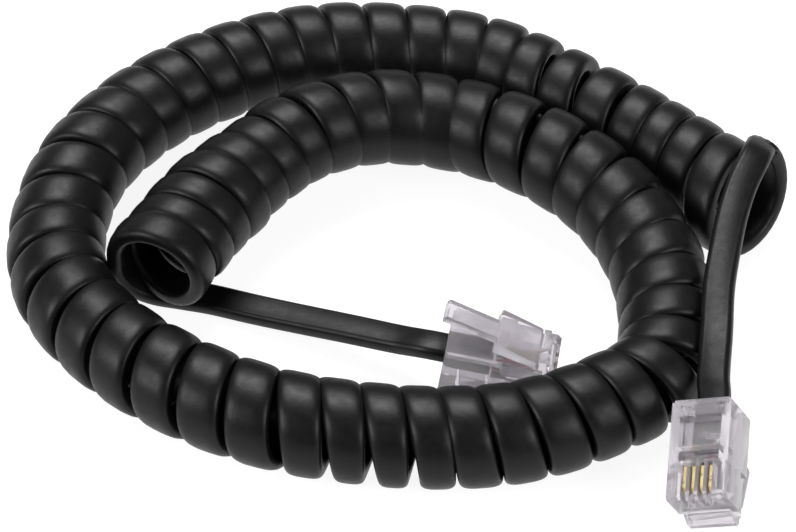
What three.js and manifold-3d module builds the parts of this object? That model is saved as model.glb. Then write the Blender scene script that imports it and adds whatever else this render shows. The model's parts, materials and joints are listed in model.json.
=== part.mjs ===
// A curly handset cord: a black coiled cord laid in a flat spiral, with a short straight tail
// and a clear 4P4C modular plug at each end. Millimetres, +Z up, the surface it lies on is Z = 0.
import * as THREE from "three";
import { mergeVertices } from "three/addons/utils/BufferGeometryUtils.js";
import Module from "manifold-3d";

const wasm = await Module();
wasm.setup();

// ---- driving dimensions -------------------------------------------------------------------
const PLUG_WIDTH = 7.65;
const PLUG_LENGTH = 13;
const PLUG_HEIGHT = 6.8;
const FRONT_HEIGHT = 4.8;       // the full-width part of the front, from the contact face
const CORD_WIDTH = 4.1;         // flat oval cord
const CORD_THICKNESS = 2.4;
const COIL_RADIUS = 6.4;        // outside of the coil
const CONTACT_PITCH = 1.1;
const CONTACT_X = 8.65;         // rear end of the contacts
const CONTACT_THICKNESS = 0.38;
const GAP = 0.3;                // between pieces that touch

// the cord's place inside a plug: the jacket's mid-height above the contact face, and its end
const JACKET_Z = 4;
const JACKET_END = 6;
const CAVITY_FLOOR = 2.6;
const CONDUCTOR_Z = 3.3;
const CONDUCTOR_RADIUS = 0.42;
const CONDUCTOR_END = 11;

// the lever's hinge line in the plug, and its size
const HINGE = { x: 11.2, z: 7.3 };
const LEVER_LENGTH = 12.6;
const LEVER_HALF_WIDTH = 3.2;
const SHOULDER = { x: -5.5, height: 0.95 };   // the lever's stop edge, from the hinge
const HANDLE_HALF_WIDTH = 1.55;
const ROOT_RADIUS = 0.5;

// ---- where things lie ---------------------------------------------------------------------
// the coil's middle line, one point at every second turn
const COIL_ROUTE = [
  [-29.3, -5.8, 8.9], [-25.1, 1.3, 9.3], [-19.4, 8.6, 9.3], [-12.8, 14.6, 9.9],
  [-3.3, 19.2, 8.8], [7.7, 19.2, 7.5], [18.3, 13.1, 8.6], [27.1, 5.6, 7.8],
  [32.6, -4.1, 6.7], [34.3, -15, 6.5], [32.6, -24.8, 6.5], [25, -30.6, 6.5],
  [15.5, -34.5, 6.5], [5.5, -35.6, 6.5], [-4.7, -35, 6.7], [-15.3, -33.1, 7.2],
  [-26.1, -28.4, 7.5], [-35.8, -20.7, 7.1], [-42.6, -11.4, 7], [-44.3, -1.1, 7.1],
  [-41.9, 9.8, 8], [-36.2, 19.5, 7.7], [-28.5, 26.3, 7.9], [-19.7, 31.3, 7.7],
  [-10, 34.5, 7.2], [1.1, 34.9, 6.7], [11.8, 32.7, 6.5], [21, 27.3, 6.5],
  [30.3, 20, 6.5], [37.3, 13.8, 6.6], [44.2, 7.1, 6.9],
];
// the flat tails, from beside the coil's end to the back of their plug
const TAIL_A_ROUTE = [
  [-24, -7.4, 1.3], [-18.5, -9.6, 1.8], [-12.7, -12, 2.6], [-6.2, -14.8, 3.7],
  [0, -17.5, 4.7],
];
const TAIL_B_ROUTE = [
  [42.9, -3.3, 12.7], [41.5, -9.6, 12.4], [40.35, -15.9, 12.2], [39.6, -23, 11.95],
  [38.9, -29, 10.6],
];
// each plug: the middle of the contact face's rear edge, the way its nose points, the way its
// latch faces, and the slope of its lever in degrees when nothing presses it
const PLUGS = {
  a: { at: [5.5, -20.1, 1.8], nose: [0.979, -0.155, -0.13], latch: [0.12, 0.03, 0.99], rest: 15 },
  b: { at: [37, -34.6, 12.6], nose: [-0.105, -0.941, -0.321], latch: [0.42, 0.251, -0.872], rest: 13 },
};

// ---- materials ----------------------------------------------------------------------------
const finish = (color, roughness, metalness = 0) => (
  new THREE.MeshStandardMaterial({ color, roughness, metalness })
);
const JACKET = finish(0x151516, 0.35);
const CLEAR = finish(0xdedbe2, 0.12);
const GOLD = finish(0xd9b25a, 0.25, 1);
const CONDUCTORS = {
  black: finish(0x1c1c1c, 0.4),
  red: finish(0xb02320, 0.4),
  green: finish(0x2c7a3a, 0.4),
  yellow: finish(0xd8b62c, 0.4),
};

// ---- solid helpers ------------------------------------------------------------------------
function toManifold(geometry) {
  const bare = geometry.index ? geometry.toNonIndexed() : geometry.clone();
  bare.deleteAttribute("normal");
  bare.deleteAttribute("uv");
  const merged = mergeVertices(bare, 1e-4);
  return new wasm.Manifold(new wasm.Mesh({
    numProp: 3,
    vertProperties: new Float32Array(merged.attributes.position.array),
    triVerts: new Uint32Array(merged.index.array),
  }));
}

function toGeometry(solid) {
  const mesh = solid.getMesh();
  const geometry = new THREE.BufferGeometry();
  geometry.setAttribute("position", new THREE.BufferAttribute(mesh.vertProperties, 3));
  geometry.setIndex(new THREE.BufferAttribute(mesh.triVerts, 1));
  const flat = geometry.toNonIndexed();
  flat.computeVertexNormals();
  return flat;
}

function joined(added, cut = []) {
  let solid = toManifold(added[0]);
  added.slice(1).forEach((geometry) => { solid = solid.add(toManifold(geometry)); });
  cut.forEach((geometry) => { solid = solid.subtract(toManifold(geometry)); });
  return toGeometry(solid);
}

function block(x, y, z) {
  const geometry = new THREE.BoxGeometry(x[1] - x[0], y[1] - y[0], z[1] - z[0]);
  return geometry.translate((x[0] + x[1]) / 2, (y[0] + y[1]) / 2, (z[0] + z[1]) / 2);
}

// a side outline in X and Z, as thick as the width, centred on Y = middle
function sideProfile(outline, width, middle = 0) {
  const shape = new THREE.Shape(outline.map(([x, z]) => new THREE.Vector2(x, z)));
  const geometry = new THREE.ExtrudeGeometry(shape, { depth: width, bevelEnabled: false });
  return geometry.rotateX(Math.PI / 2).translate(0, middle + width / 2, 0);
}

// a closed tube with the given section along a smooth line
function sweep(points, section, steps) {
  const path = new THREE.CatmullRomCurve3(points.map((p) => new THREE.Vector3(...p)));
  return new THREE.ExtrudeGeometry(section, { steps, extrudePath: path, bevelEnabled: false });
}

function roundSection(radius, sides) {
  const points = [];
  for (let i = 0; i < sides; i += 1) {
    const angle = (2 * Math.PI * i) / sides;
    points.push(new THREE.Vector2(radius * Math.cos(angle), radius * Math.sin(angle)));
  }
  return new THREE.Shape(points);
}

// the cord's flat oval, thin way first
function cordSection() {
  const thin = CORD_THICKNESS / 2;
  const wide = CORD_WIDTH / 2;
  const side = thin * 0.4;
  const flat = wide * 0.65;
  return new THREE.Shape([
    [thin, -flat], [thin, flat], [side, wide], [-side, wide],
    [-thin, flat], [-thin, -flat], [-side, -wide], [side, -wide],
  ].map(([x, y]) => new THREE.Vector2(x, y)));
}

// ---- the cord -----------------------------------------------------------------------------
const group = new THREE.Group();

function addPiece(parent, name, geometry, material) {
  const mesh = new THREE.Mesh(geometry, material);
  mesh.name = name;
  parent.add(mesh);
}

function plugPoint(plug, x, z) {
  return new THREE.Vector3(...plug.at)
    .addScaledVector(new THREE.Vector3(...plug.nose), x)
    .addScaledVector(new THREE.Vector3(...plug.latch), z);
}

function addTail(name, route, plug) {
  const before = plugPoint(plug, -2, JACKET_Z).toArray();
  const end = plugPoint(plug, -GAP, JACKET_Z).toArray();
  const steps = 16;
  addPiece(group, name, sweep([...route, before, end], cordSection(), steps), JACKET);
}

const COIL_STEPS = 110;
const COIL_SIDES = 12;
addPiece(group, "coiled_cord", sweep(COIL_ROUTE, roundSection(COIL_RADIUS, COIL_SIDES), COIL_STEPS), JACKET);
addTail("cord_tail_a", TAIL_A_ROUTE, PLUGS.a);
addTail("cord_tail_b", TAIL_B_ROUTE, PLUGS.b);

// ---- one plug, in its own frame: X to the nose, Z to the latch, contact face at Z = 0 ------
const contactRow = [0, 1, 2, 3].map((i) => (i - 1.5) * CONTACT_PITCH);
const COLOURS = ["black", "red", "green", "yellow"];

function housing() {
  const full = PLUG_WIDTH / 2;
  const noseHalf = 3;
  const shoulder = 8;
  const body = sideProfile([
    [0, 0], [12.6, 0], [PLUG_LENGTH, 0.4], [PLUG_LENGTH, FRONT_HEIGHT],
    [shoulder, FRONT_HEIGHT], [shoulder, PLUG_HEIGHT], [0, PLUG_HEIGHT],
  ], PLUG_WIDTH);
  const step = block([shoulder - 1, 12.4], [-3.5, 3.5], [FRONT_HEIGHT - 1, 6.5]);
  const nose = sideProfile([
    [shoulder - 1, 4], [13.3, 4], [14.1, 5.4], [14.1, 6.9], [13.6, 7.4],
    [12.7, 7.4], [12.7, 7.85], [11.8, 7.85], [11.8, 6.6], [shoulder - 1, 6.6],
  ], 2 * noseHalf);
  const jacketCavity = block([-1, 7.2], [-2.5, 2.5], [CAVITY_FLOOR, JACKET_Z + 1.4]);
  const conductorCavity = block([7.1, CONDUCTOR_END + GAP], [-2.4, 2.4], [CAVITY_FLOOR, 4]);
  const jacketWindow = block([2.1, 6.05], [-2.7, 2.7], [-1, CAVITY_FLOOR + 0.1]);
  const conductorWindow = block([6.8, 8], [-2.6, 2.6], [-1, CAVITY_FLOOR + 0.1]);
  const slots = contactRow.map((y) => (
    block([CONTACT_X - 0.25, PLUG_LENGTH + 1], [y - 0.3, y + 0.3], [-1, CAVITY_FLOOR + 0.15])
  ));
  const dimples = [-2.3, 2.3].map((y) => (
    new THREE.CylinderGeometry(0.45, 0.45, 0.5, 12).rotateX(Math.PI / 2).translate(1, y, 0)
  ));
  const notches = [-full, full].map((y) => (
    block([-1, 0.3], [y - 0.3, y + 0.3], [-1, PLUG_HEIGHT + 1])
  ));
  const cut = [jacketCavity, conductorCavity, jacketWindow, conductorWindow];
  return joined([body, step, nose], [...cut, ...slots, ...dimples, ...notches]);
}

// the lever, sloping up from its hinge to the cord's side; its two shoulders hold in the jack
function lever(slope) {
  const root = [];
  for (let i = 0; i <= 6; i += 1) {
    const angle = -Math.PI / 2 + (Math.PI * i) / 6;
    root.push([ROOT_RADIUS * Math.cos(angle), ROOT_RADIUS * Math.sin(angle)]);
  }
  const plate = sideProfile([
    [SHOULDER.x, -0.6], ...root, [SHOULDER.x + 0.2, SHOULDER.height], [SHOULDER.x, SHOULDER.height - 0.2],
  ], 2 * LEVER_HALF_WIDTH);
  const handle = sideProfile([
    [-LEVER_LENGTH, -0.55], [-3.5, -0.55], [-3.5, 0.5], [-LEVER_LENGTH + 0.3, 0.6], [-LEVER_LENGTH, 0.3],
  ], 2 * HANDLE_HALF_WIDTH);
  const geometry = joined([plate, handle]);
  return geometry.rotateY(THREE.MathUtils.degToRad(slope)).translate(HINGE.x, 0, HINGE.z);
}

function contact(y) {
  return sideProfile([
    [0, 0.35], [2.8, 0.35], [3.25, 0.8], [3.25, 2], [2.3, 2], [2.1, 2.65], [1.8, 2],
    [0.9, 2], [0.7, 2.65], [0.4, 2], [0, 2],
  ], CONTACT_THICKNESS, y).translate(CONTACT_X, 0, 0);
}

function conductor(y) {
  const length = CONDUCTOR_END - JACKET_END - GAP;
  const rod = new THREE.CylinderGeometry(CONDUCTOR_RADIUS, CONDUCTOR_RADIUS, length, 8);
  return rod.rotateZ(Math.PI / 2).translate(JACKET_END + GAP + length / 2, y, CONDUCTOR_Z);
}

function jacketEnd() {
  const section = cordSection();
  const geometry = new THREE.ExtrudeGeometry(section, { depth: JACKET_END, bevelEnabled: false });
  return geometry.rotateY(Math.PI / 2).translate(0, 0, JACKET_Z);
}

function addPlug(end, plug) {
  const frame = new THREE.Group();
  const nose = new THREE.Vector3(...plug.nose).normalize();
  const across = new THREE.Vector3(...plug.latch).cross(nose).normalize();
  const latch = new THREE.Vector3().crossVectors(nose, across);
  frame.setRotationFromMatrix(new THREE.Matrix4().makeBasis(nose, across, latch));
  frame.position.set(...plug.at);
  group.add(frame);

  addPiece(frame, `plug_housing_${end}`, housing(), CLEAR);
  addPiece(frame, `latch_lever_${end}`, lever(plug.rest), CLEAR);
  const jacketBar = sideProfile([[2.4, 1.5], [2.6, 1], [5.75, 0.7], [5.75, 2.4], [4.6, 2.4]], 5);
  addPiece(frame, `jacket_crimp_bar_${end}`, jacketBar, CLEAR);
  const conductorBar = block([7, 7.8], [-2.4, 2.4], [0.9, 2.6]);
  addPiece(frame, `conductor_crimp_bar_${end}`, conductorBar, CLEAR);
  addPiece(frame, `jacket_end_${end}`, jacketEnd(), JACKET);
  contactRow.forEach((y, i) => {
    addPiece(frame, `contact_${i + 1}_${end}`, contact(y), GOLD);
    addPiece(frame, `conductor_${i + 1}_${end}`, conductor(y), CONDUCTORS[COLOURS[i]]);
  });
}

Object.entries(PLUGS).forEach(([end, plug]) => addPlug(end, plug));

// ---- the origin goes under the middle of the whole object's box ----------------------------
group.updateMatrixWorld(true);
const whole = new THREE.Box3().setFromObject(group, true);
const middle = whole.getCenter(new THREE.Vector3());
group.position.set(-middle.x, -middle.y, -whole.min.z);
group.updateMatrixWorld(true);

export default group;
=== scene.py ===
"""A coiled handset cord with a clear modular plug at each end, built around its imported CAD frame.

The cord is one flat strip swept from plug to plug: a straight tail, the helix, a straight tail.
"""

import json
import math

import bmesh
import bpy
from mathutils import Matrix, Vector


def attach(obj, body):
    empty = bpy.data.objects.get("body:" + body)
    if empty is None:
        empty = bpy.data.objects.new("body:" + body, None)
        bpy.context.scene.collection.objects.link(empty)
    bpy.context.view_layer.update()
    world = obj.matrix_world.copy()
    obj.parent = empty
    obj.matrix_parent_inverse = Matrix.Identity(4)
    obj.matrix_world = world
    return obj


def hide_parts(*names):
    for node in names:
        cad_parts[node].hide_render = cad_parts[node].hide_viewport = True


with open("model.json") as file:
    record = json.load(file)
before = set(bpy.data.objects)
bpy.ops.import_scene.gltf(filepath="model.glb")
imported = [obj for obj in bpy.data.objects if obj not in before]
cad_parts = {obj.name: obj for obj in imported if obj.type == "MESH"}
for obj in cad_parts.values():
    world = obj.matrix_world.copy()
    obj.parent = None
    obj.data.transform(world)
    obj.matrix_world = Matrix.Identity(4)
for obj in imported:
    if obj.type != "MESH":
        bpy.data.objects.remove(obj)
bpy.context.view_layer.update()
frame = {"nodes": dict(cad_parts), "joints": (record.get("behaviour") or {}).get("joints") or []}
nodes = frame["nodes"]

# ---- sizes, in metres ---------------------------------------------------------------------
MM = 0.001
CORD_WIDTH = 4.1 * MM
CORD_THICKNESS = 2.4 * MM
COILED_WIDTH = 5.6 * MM          # the strip is pressed wider where it is wound, up to this
COILED_THICKNESS = 2.35 * MM
FIRST_WIDTH = 4.9 * MM
COIL_RADIUS = 6.4 * MM           # outside of the coil
STRAND_RADIUS = COIL_RADIUS - COILED_THICKNESS / 2
FIRST_SPRUNG_OPEN = 0.6 * MM     # added to the radius of the first few turns
LAST_SPRUNG_OPEN = 2 * MM        # and to the radius of the last one
SECTION_POWER = 0.64             # 1 would make the section an ellipse, less makes it fuller
SECTION_POINTS = 36
WIRES = 4
RIDGE_HEIGHT = 0.05 * MM         # the jacket's shallow ridges over its four wires

# ---- places along the coil, in turns ----------------------------------------------------------
FIRST_TURN = 0.25
LAST_TURN = 61.36
STEPS_PER_TURN = 36
FIRST_RING_ENDS, FIRST_RING_EASE = 0.5, 0.8       # where an end ring's own plane is left or joined,
LAST_RING_STARTS, LAST_RING_EASE = 60.4, 0.6      # and how gradually
FIRST_WIDTH_LAG = 0.3                             # the first ring's width lasts this much longer
SPRUNG_OPEN_ENDS, SPRUNG_OPEN_EASE = 3.8, 1.1
WOUND_EASE = 0.3                                  # from the tail's section to the coil's
HEADING_STEP = 0.25
# turns where the strip stands apart from its neighbours, and the share of its width it gives up;
# below zero it is pressed wider there
APART = {
    24.12: -0.06, 25.12: -0.08, 26.12: -0.05, 27.12: 0.12, 28.12: 0.28, 29.12: 0.28, 30.12: 0.14,
    52.37: -0.05, 53.37: -0.05, 54.37: 0.2, 55.37: 0.3, 56.37: 0.14,
}
APART_SPAN = 0.22
HELD_BACK = 0.85                 # share of the coil's advance that is put off there
HELD_BACK_SPAN = 0.3

# ---- in a plug's own frame --------------------------------------------------------------------
JACKET_HEIGHT = 4 * MM           # middle of the jacket above a plug's contact face
JACKET_STATIONS = (6 * MM, 2 * MM, -2 * MM)       # from the jacket's end inside to behind the plug
HINGE_X = 11.2 * MM
HINGE_Z = 7.3 * MM

# ---- the route of the cord, as in the CAD source --------------------------------------------
# the coil's middle line, one point at every second turn, from the first turn
COIL_ROUTE = [
    (-0.0293, -0.0058, 0.0089), (-0.0251, 0.0013, 0.0093), (-0.0194, 0.0086, 0.0093),
    (-0.0128, 0.0146, 0.0099), (-0.0033, 0.0192, 0.0088), (0.0077, 0.0192, 0.0075),
    (0.0183, 0.0131, 0.0086), (0.0271, 0.0056, 0.0078), (0.0326, -0.0041, 0.0067),
    (0.0343, -0.015, 0.0065), (0.0326, -0.0248, 0.0065), (0.025, -0.0306, 0.0065),
    (0.0155, -0.0345, 0.0065), (0.0055, -0.0356, 0.0065), (-0.0047, -0.035, 0.0067),
    (-0.0153, -0.0331, 0.0072), (-0.0261, -0.0284, 0.0075), (-0.0358, -0.0207, 0.0071),
    (-0.0426, -0.0114, 0.007), (-0.0443, -0.0011, 0.0071), (-0.0419, 0.0098, 0.008),
    (-0.0362, 0.0195, 0.0077), (-0.0285, 0.0263, 0.0079), (-0.0197, 0.0313, 0.0077),
    (-0.01, 0.0345, 0.0072), (0.0011, 0.0349, 0.0067), (0.0118, 0.0327, 0.0065),
    (0.021, 0.0273, 0.0065), (0.0303, 0.02, 0.0065), (0.0373, 0.0138, 0.0066),
    (0.0442, 0.0071, 0.0069),
]
BEFORE_FIRST_TURN = (-0.033, -0.0125, 0.0089)
AFTER_LAST_TURN = (0.051, 0.001, 0.0072)
# the two end rings have sprung out of line, each into a plane of its own
FIRST_RING = {"middle": (-0.0305, -0.0078, 0.009), "heading": (0.35, 0.937, 0)}
LAST_RING = {"middle": (0.0443, 0.0049, 0.0083), "heading": (0.68, -0.7, 0.21)}
# the flat tails, from beside the coil's end to the back of their plug
TAIL_A_ROUTE = [
    (-0.024, -0.0074, 0.0013), (-0.0185, -0.0096, 0.0018), (-0.0127, -0.012, 0.0026),
    (-0.0062, -0.0148, 0.0037), (0, -0.0175, 0.0047),
]
TAIL_B_ROUTE = [
    (0.0429, -0.0033, 0.0127), (0.0415, -0.0096, 0.0124), (0.04035, -0.0159, 0.0122),
    (0.0396, -0.023, 0.01195), (0.0389, -0.029, 0.0106),
]
# and from their end ring to there
RING_TO_TAIL_A = [
    (-0.0359, -0.0058, 0.006), (-0.0344, -0.0057, 0.0032), (-0.0318, -0.0058, 0.0016),
    (-0.028, -0.0065, 0.00135),
]
RING_TO_TAIL_B = [(0.0464, 0.0058, 0.0142), (0.0444, 0.0013, 0.0136)]
PLUG_FRAMES = {
    "a": {"at": (0.0055, -0.0201, 0.0018), "nose": (0.979, -0.155, -0.13), "latch": (0.12, 0.03, 0.99)},
    "b": {"at": (0.037, -0.0346, 0.0126), "nose": (-0.105, -0.941, -0.321), "latch": (0.42, 0.251, -0.872)},
}


class Plug:
    """A plug's own frame: x to the nose, y across, z to the latch, contact face at z = 0."""

    def __init__(self, at, nose, latch):
        self.at = Vector(at)
        self.nose = Vector(nose).normalized()
        self.across = Vector(latch).cross(self.nose).normalized()
        self.latch = self.nose.cross(self.across)

    def point(self, x, y, z):
        return self.at + x * self.nose + y * self.across + z * self.latch


plugs = {end: Plug(**values) for end, values in PLUG_FRAMES.items()}


def move_from_source():
    """The CAD source is moved so that its box stands on the origin: a hinge's place gives the move."""
    joint = next(j for j in frame["joints"] if j["child"] == "latch_a")
    return Vector(joint["pos_m"]) - plugs["a"].point(HINGE_X, 0, HINGE_Z)


SHIFT = move_from_source()
for plug in plugs.values():
    plug.at += SHIFT


def placed(points):
    return [Vector(p) + SHIFT for p in points]


# ---- camera ---------------------------------------------------------------------------------
CAMERA_ELEVATION = math.radians(46)
CAMERA_DISTANCE = 0.4233
FOCAL_LENGTH_MM = 145.06
SENSOR_WIDTH_MM = 36


def add_camera():
    data = bpy.data.cameras.new("camera")
    data.lens = FOCAL_LENGTH_MM
    data.sensor_width = SENSOR_WIDTH_MM
    camera = bpy.data.objects.new("camera", data)
    back = CAMERA_DISTANCE * math.cos(CAMERA_ELEVATION)
    place = Vector((0, -back, CAMERA_DISTANCE * math.sin(CAMERA_ELEVATION)))
    camera.location = place + Vector((SHIFT.x, SHIFT.y, 0))
    camera.rotation_euler = (math.pi / 2 - CAMERA_ELEVATION, 0, 0)
    bpy.context.scene.collection.objects.link(camera)
    bpy.context.scene.camera = camera


add_camera()


# ---- the cord's line --------------------------------------------------------------------------
STEPS_PER_SPAN = 8               # between two points of a tail


def catmull_rom(points, t):
    """The point at t, counted in points from the second, on a smooth line through the list."""
    i = min(max(int(math.floor(t)), 0), len(points) - 4)
    u = t - i
    a, b, c, d = points[i:i + 4]
    return 0.5 * (
        2 * b + (c - a) * u + (2 * a - 5 * b + 4 * c - d) * u ** 2
        + (3 * b - a - 3 * c + d) * u ** 3
    )


def smooth_line(points):
    """A smooth line through the points."""
    ends = [2 * points[0] - points[1], *points, 2 * points[-1] - points[-2]]
    count = (len(points) - 1) * STEPS_PER_SPAN
    return [catmull_rom(ends, i / STEPS_PER_SPAN) for i in range(count + 1)]


def eased(x):
    """From 0 to 1 without a corner, and level outside."""
    x = min(max(x, 0), 1)
    return x * x * (3 - 2 * x)


class Coil:
    """The coil's middle line, with turns counted along it."""

    def __init__(self):
        route = placed(COIL_ROUTE)
        before, after = placed([BEFORE_FIRST_TURN, AFTER_LAST_TURN])
        self.points = [2 * before - route[0], before, *route, after, 2 * after - route[-1]]
        self.first_middle, self.last_middle = placed([FIRST_RING["middle"], LAST_RING["middle"]])

    def route(self, turn):
        return catmull_rom(self.points, (turn + 1) / 2)

    def pitch(self, turn):
        return (self.route(turn + 0.5) - self.route(turn - 0.5)).length

    def middle(self, turn):
        middle = self.route(turn).lerp(self.first_middle, self.in_first_ring(turn))
        return middle.lerp(self.last_middle, self.in_last_ring(turn))

    def heading(self, turn):
        before, after = self.route(turn - HEADING_STEP), self.route(turn + HEADING_STEP)
        heading = (after - before).normalized()
        heading = heading.lerp(Vector(FIRST_RING["heading"]), self.in_first_ring(turn))
        return heading.lerp(Vector(LAST_RING["heading"]), self.in_last_ring(turn)).normalized()

    def in_first_ring(self, turn):
        return 1 - eased((turn - FIRST_RING_ENDS) / FIRST_RING_EASE)

    def in_last_ring(self, turn):
        return eased((turn - LAST_RING_STARTS) / LAST_RING_EASE)

    def strand(self, turn):
        """The strand's centre and the outward direction there. It starts at the bottom."""
        angle = 2 * math.pi * (turn - 0.5)
        place = self.advanced(turn)
        along = self.heading(place)
        side = along.cross(Vector((0, 0, 1))).normalized()
        up = side.cross(along)
        outward = math.cos(angle) * up + math.sin(angle) * side
        return self.middle(place) + self.radius(turn) * outward, outward

    def advanced(self, turn):
        """Where the strip stands apart it runs straight across, and advances before and after."""
        gaps = [gap for gap, share in APART.items() if share > 0]
        off = sum((turn - gap) * math.exp(-((turn - gap) / HELD_BACK_SPAN) ** 2) for gap in gaps)
        return turn - HELD_BACK * off

    def radius(self, turn):
        first = FIRST_SPRUNG_OPEN * (1 - eased((turn - SPRUNG_OPEN_ENDS) / SPRUNG_OPEN_EASE))
        return STRAND_RADIUS + first + LAST_SPRUNG_OPEN * self.in_last_ring(turn)

    def width(self, turn):
        """The strip fills the coil's pitch, but for the few places where it stands apart."""
        apart = sum(share * math.exp(-((turn - gap) / APART_SPAN) ** 2) for gap, share in APART.items())
        width = min(COILED_WIDTH, self.pitch(turn)) * (1 - apart)
        return width + (FIRST_WIDTH - width) * self.in_first_ring(turn - FIRST_WIDTH_LAG)


def turned_along(line, first, last):
    """Outward directions along a line, carried on without twist and then eased to end at the last."""
    tangents = [(b - a).normalized() for a, b in zip(line, line[1:])]
    tangents.append(tangents[-1])
    carried = [first]
    for tangent in tangents[1:]:
        outward = carried[-1]
        carried.append((outward - tangent * outward.dot(tangent)).normalized())
    end = tangents[-1]
    last = (last - end * last.dot(end)).normalized()
    twist = math.atan2(end.dot(carried[-1].cross(last)), carried[-1].dot(last))
    shares = [twist * eased(i / (len(line) - 1)) for i in range(len(line))]
    return [Matrix.Rotation(a, 3, axis) @ o for a, axis, o in zip(shares, tangents, carried)]


def cord_rings():
    """Ring centres, outward directions and section sizes, from inside plug A to inside plug B."""
    coil = Coil()
    plug_a, plug_b = plugs["a"], plugs["b"]
    steps = int((LAST_TURN - FIRST_TURN) * STEPS_PER_TURN)
    turns = [FIRST_TURN + (LAST_TURN - FIRST_TURN) * i / steps for i in range(steps + 1)]
    helix = [coil.strand(turn) for turn in turns]

    tail_a = [plug_a.point(x, 0, JACKET_HEIGHT) for x in JACKET_STATIONS]
    tail_a += list(reversed(placed(RING_TO_TAIL_A + TAIL_A_ROUTE)))
    line_a = smooth_line([*tail_a, helix[0][0]])
    outward_a = turned_along(line_a, -plug_a.latch, helix[0][1])
    rings = [(c, o, CORD_WIDTH, CORD_THICKNESS, 1) for c, o in zip(line_a[:-1], outward_a)]

    for turn, (centre, outward) in zip(turns, helix):
        wound = eased((turn - FIRST_TURN) / WOUND_EASE) * eased((LAST_TURN - turn) / WOUND_EASE)
        width = CORD_WIDTH + wound * (coil.width(turn) - CORD_WIDTH)
        thickness = CORD_THICKNESS + wound * (COILED_THICKNESS - CORD_THICKNESS)
        rings.append((centre, outward, width, thickness, 1 - wound))

    tail_b = [helix[-1][0], *placed(RING_TO_TAIL_B + TAIL_B_ROUTE)]
    tail_b += [plug_b.point(x, 0, JACKET_HEIGHT) for x in reversed(JACKET_STATIONS)]
    line_b = smooth_line(tail_b)
    outward_b = turned_along(line_b, helix[-1][1], -plug_b.latch)
    rings += [(c, o, CORD_WIDTH, CORD_THICKNESS, 1) for c, o in zip(line_b[1:], outward_b[1:])]
    return rings


def section_point(i, width, thickness, ridged):
    """A flat oval with full round edges, as (across, outward), ridged where it isn't wound."""
    angle = 2 * math.pi * i / SECTION_POINTS
    c, s = math.cos(angle), math.sin(angle)
    across = math.copysign(abs(c) ** SECTION_POWER, c)
    ridge = RIDGE_HEIGHT * ridged * (math.cos(math.pi * WIRES * (across + 1 / WIRES)) - 1) * abs(s) ** 2
    outward = math.copysign(abs(s) ** SECTION_POWER * thickness / 2 + ridge, s)
    return across * width / 2, outward


def add_cord():
    rings = cord_rings()
    centres = [ring[0] for ring in rings]
    bm = bmesh.new()
    loops = []
    for i, (centre, outward, *section) in enumerate(rings):
        tangent = (centres[min(i + 1, len(rings) - 1)] - centres[max(i - 1, 0)]).normalized()
        out = (outward - tangent * outward.dot(tangent)).normalized()
        across = tangent.cross(out)
        loop = []
        for k in range(SECTION_POINTS):
            x, y = section_point(k, *section)
            loop.append(bm.verts.new(centre + across * x + out * y))
        loops.append(loop)
    for first, second in zip(loops, loops[1:]):
        for k in range(SECTION_POINTS):
            n = (k + 1) % SECTION_POINTS
            bm.faces.new((first[k], first[n], second[n], second[k]))
    bm.faces.new(list(reversed(loops[0])))
    bm.faces.new(loops[-1])
    bmesh.ops.recalc_face_normals(bm, faces=bm.faces)
    cord = add_mesh("handset_cord", bm)
    for polygon in cord.data.polygons:
        polygon.use_smooth = True
    return cord, centres


def add_mesh(name, bm):
    mesh = bpy.data.meshes.new(name)
    bm.to_mesh(mesh)
    bm.free()
    piece = bpy.data.objects.new(name, mesh)
    bpy.context.scene.collection.objects.link(piece)
    return piece


# ---- materials --------------------------------------------------------------------------------
def new_material(name, color, roughness, metallic=0.0):
    material = bpy.data.materials.new(name)
    material.use_nodes = True
    shader = material.node_tree.nodes["Principled BSDF"]
    shader.inputs["Base Color"].default_value = (*color, 1)
    shader.inputs["Roughness"].default_value = roughness
    shader.inputs["Metallic"].default_value = metallic
    return material, shader


def add_noise(material, scale, detail=2.0):
    tree = material.node_tree
    coords = tree.nodes.new("ShaderNodeTexCoord")
    noise = tree.nodes.new("ShaderNodeTexNoise")
    noise.inputs["Scale"].default_value = scale
    noise.inputs["Detail"].default_value = detail
    tree.links.new(coords.outputs["Object"], noise.inputs["Vector"])
    return noise


def vary(material, shader, socket, noise, low, high):
    """Makes a socket's value wander between low and high with a noise."""
    tree = material.node_tree
    ramp = tree.nodes.new("ShaderNodeMapRange")
    ramp.inputs["From Min"].default_value = 0.3
    ramp.inputs["From Max"].default_value = 0.7
    ramp.inputs["To Min"].default_value = low
    ramp.inputs["To Max"].default_value = high
    tree.links.new(noise.outputs["Fac"], ramp.inputs["Value"])
    tree.links.new(ramp.outputs["Result"], shader.inputs[socket])


def add_bump(material, shader, noise, distance, strength):
    tree = material.node_tree
    bump = tree.nodes.new("ShaderNodeBump")
    bump.inputs["Distance"].default_value = distance
    bump.inputs["Strength"].default_value = strength
    tree.links.new(noise.outputs["Fac"], bump.inputs["Height"])
    tree.links.new(bump.outputs["Normal"], shader.inputs["Normal"])


def black_pvc():
    material, shader = new_material("black_pvc", (0.003, 0.003, 0.0033), 0.4)
    shader.inputs["Specular IOR Level"].default_value = 0.22
    vary(material, shader, "Roughness", add_noise(material, 900), 0.36, 0.46)
    add_bump(material, shader, add_noise(material, 2600, 3.0), 0.00004, 0.35)
    return material


def clear_plastic():
    material, shader = new_material("clear_polycarbonate", (0.74, 0.71, 0.75), 0.15)
    shader.inputs["Transmission Weight"].default_value = 0.82
    shader.inputs["IOR"].default_value = 1.38
    vary(material, shader, "Roughness", add_noise(material, 500), 0.06, 0.16)
    return material


def gold():
    material, shader = new_material("gold_plate", (0.96, 0.76, 0.34), 0.3, 0.8)
    vary(material, shader, "Roughness", add_noise(material, 1500), 0.24, 0.38)
    return material


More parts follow.
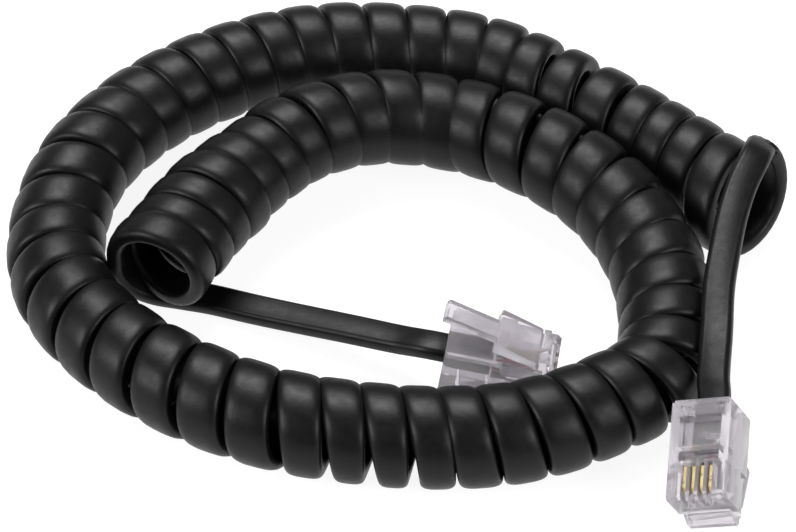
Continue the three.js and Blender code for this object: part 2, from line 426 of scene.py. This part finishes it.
def insulation(name, color):
    material, shader = new_material("insulation_" + name, color, 0.4)
    vary(material, shader, "Roughness", add_noise(material, 1200), 0.34, 0.46)
    return material


# ---- pieces -------------------------------------------------------------------------------------
SAME_PLACE = 1e-6                # corners nearer than this are one
SAME_PLANE = math.radians(2)
SHARP_EDGE = math.radians(25)


def set_material(piece, material):
    piece.data.materials.clear()
    piece.data.materials.append(material)


def softened(node, name, width):
    """A moulded copy of a CAD node, its flat faces made whole and its edges rounded."""
    bm = bmesh.new()
    bm.from_mesh(nodes[node].data)
    bmesh.ops.remove_doubles(bm, verts=bm.verts, dist=SAME_PLACE)
    bmesh.ops.dissolve_limit(bm, angle_limit=SAME_PLANE, verts=bm.verts, edges=bm.edges)
    piece = add_mesh(name, bm)
    bevel = piece.modifiers.new("edges", "BEVEL")
    bevel.width = width
    bevel.segments = 3
    bevel.limit_method = "ANGLE"
    bevel.angle_limit = SHARP_EDGE
    bevel.harden_normals = True
    for polygon in piece.data.polygons:
        polygon.use_smooth = True
    return piece


cord, cord_line = add_cord()
set_material(cord, black_pvc())
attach(cord, "cord")
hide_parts("coiled_cord", "cord_tail_a", "cord_tail_b", "jacket_end_a", "jacket_end_b")

clear = clear_plastic()
plug_pieces = {"a": [], "b": []}
for end in plugs:
    body = "latch_" + end
    for part, rides_on, width in (
        ("plug_housing", "cord", 0.15 * MM),
        ("latch_lever", body, 0.18 * MM),
        ("jacket_crimp_bar", "cord", 0.1 * MM),
        ("conductor_crimp_bar", "cord", 0.1 * MM),
    ):
        node = f"{part}_{end}"
        piece = softened(node, node + "_moulded", width)
        set_material(piece, clear)
        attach(piece, rides_on)
        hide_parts(node)
        plug_pieces[end].append(piece)

metal = gold()
wire_materials = [
    insulation("black", (0.02, 0.02, 0.02)),
    insulation("red", (0.5, 0.03, 0.025)),
    insulation("green", (0.03, 0.22, 0.07)),
    insulation("yellow", (0.7, 0.5, 0.05)),
]
for end in plugs:
    for i, wire_material in enumerate(wire_materials, start=1):
        set_material(nodes[f"contact_{i}_{end}"], metal)
        set_material(nodes[f"conductor_{i}_{end}"], wire_material)
        plug_pieces[end] += [nodes[f"contact_{i}_{end}"], nodes[f"conductor_{i}_{end}"]]


# ---- floor and light ----------------------------------------------------------------------------
FLOOR_REACH = 1.5


def add_floor():
    bm = bmesh.new()
    bmesh.ops.create_grid(bm, x_segments=1, y_segments=1, size=FLOOR_REACH)
    floor = add_mesh("floor", bm)
    material, shader = new_material("pale_floor", (0.2, 0.2, 0.2), 0.8)
    shader.inputs["Emission Color"].default_value = (1, 1, 1, 1)
    shader.inputs["Emission Strength"].default_value = 0.9
    set_material(floor, material)


def add_area_light(name, place, aim, size, power):
    data = bpy.data.lights.new(name, "AREA")
    data.size = size
    data.energy = power
    light = bpy.data.objects.new(name, data)
    light.location = place
    light.rotation_euler = (Vector(aim) - Vector(place)).to_track_quat("-Z", "Y").to_euler()
    bpy.context.scene.collection.objects.link(light)


def add_light():
    world = bpy.data.worlds.new("studio")
    world.use_nodes = True
    world.node_tree.nodes["Background"].inputs["Color"].default_value = (1, 1, 1, 1)
    world.node_tree.nodes["Background"].inputs["Strength"].default_value = 0.2
    bpy.context.scene.world = world
    bpy.context.scene.view_settings.view_transform = "Standard"
    centre = (0, 0, 0)
    add_area_light("overhead", (-0.05, 0.27, 0.53), centre, 0.34, 4)
    add_area_light("left", (-0.5, -0.25, 0.34), centre, 0.3, 2.6)
    add_area_light("right", (0.5, -0.33, 0.34), centre, 0.3, 2.1)


add_floor()
add_light()
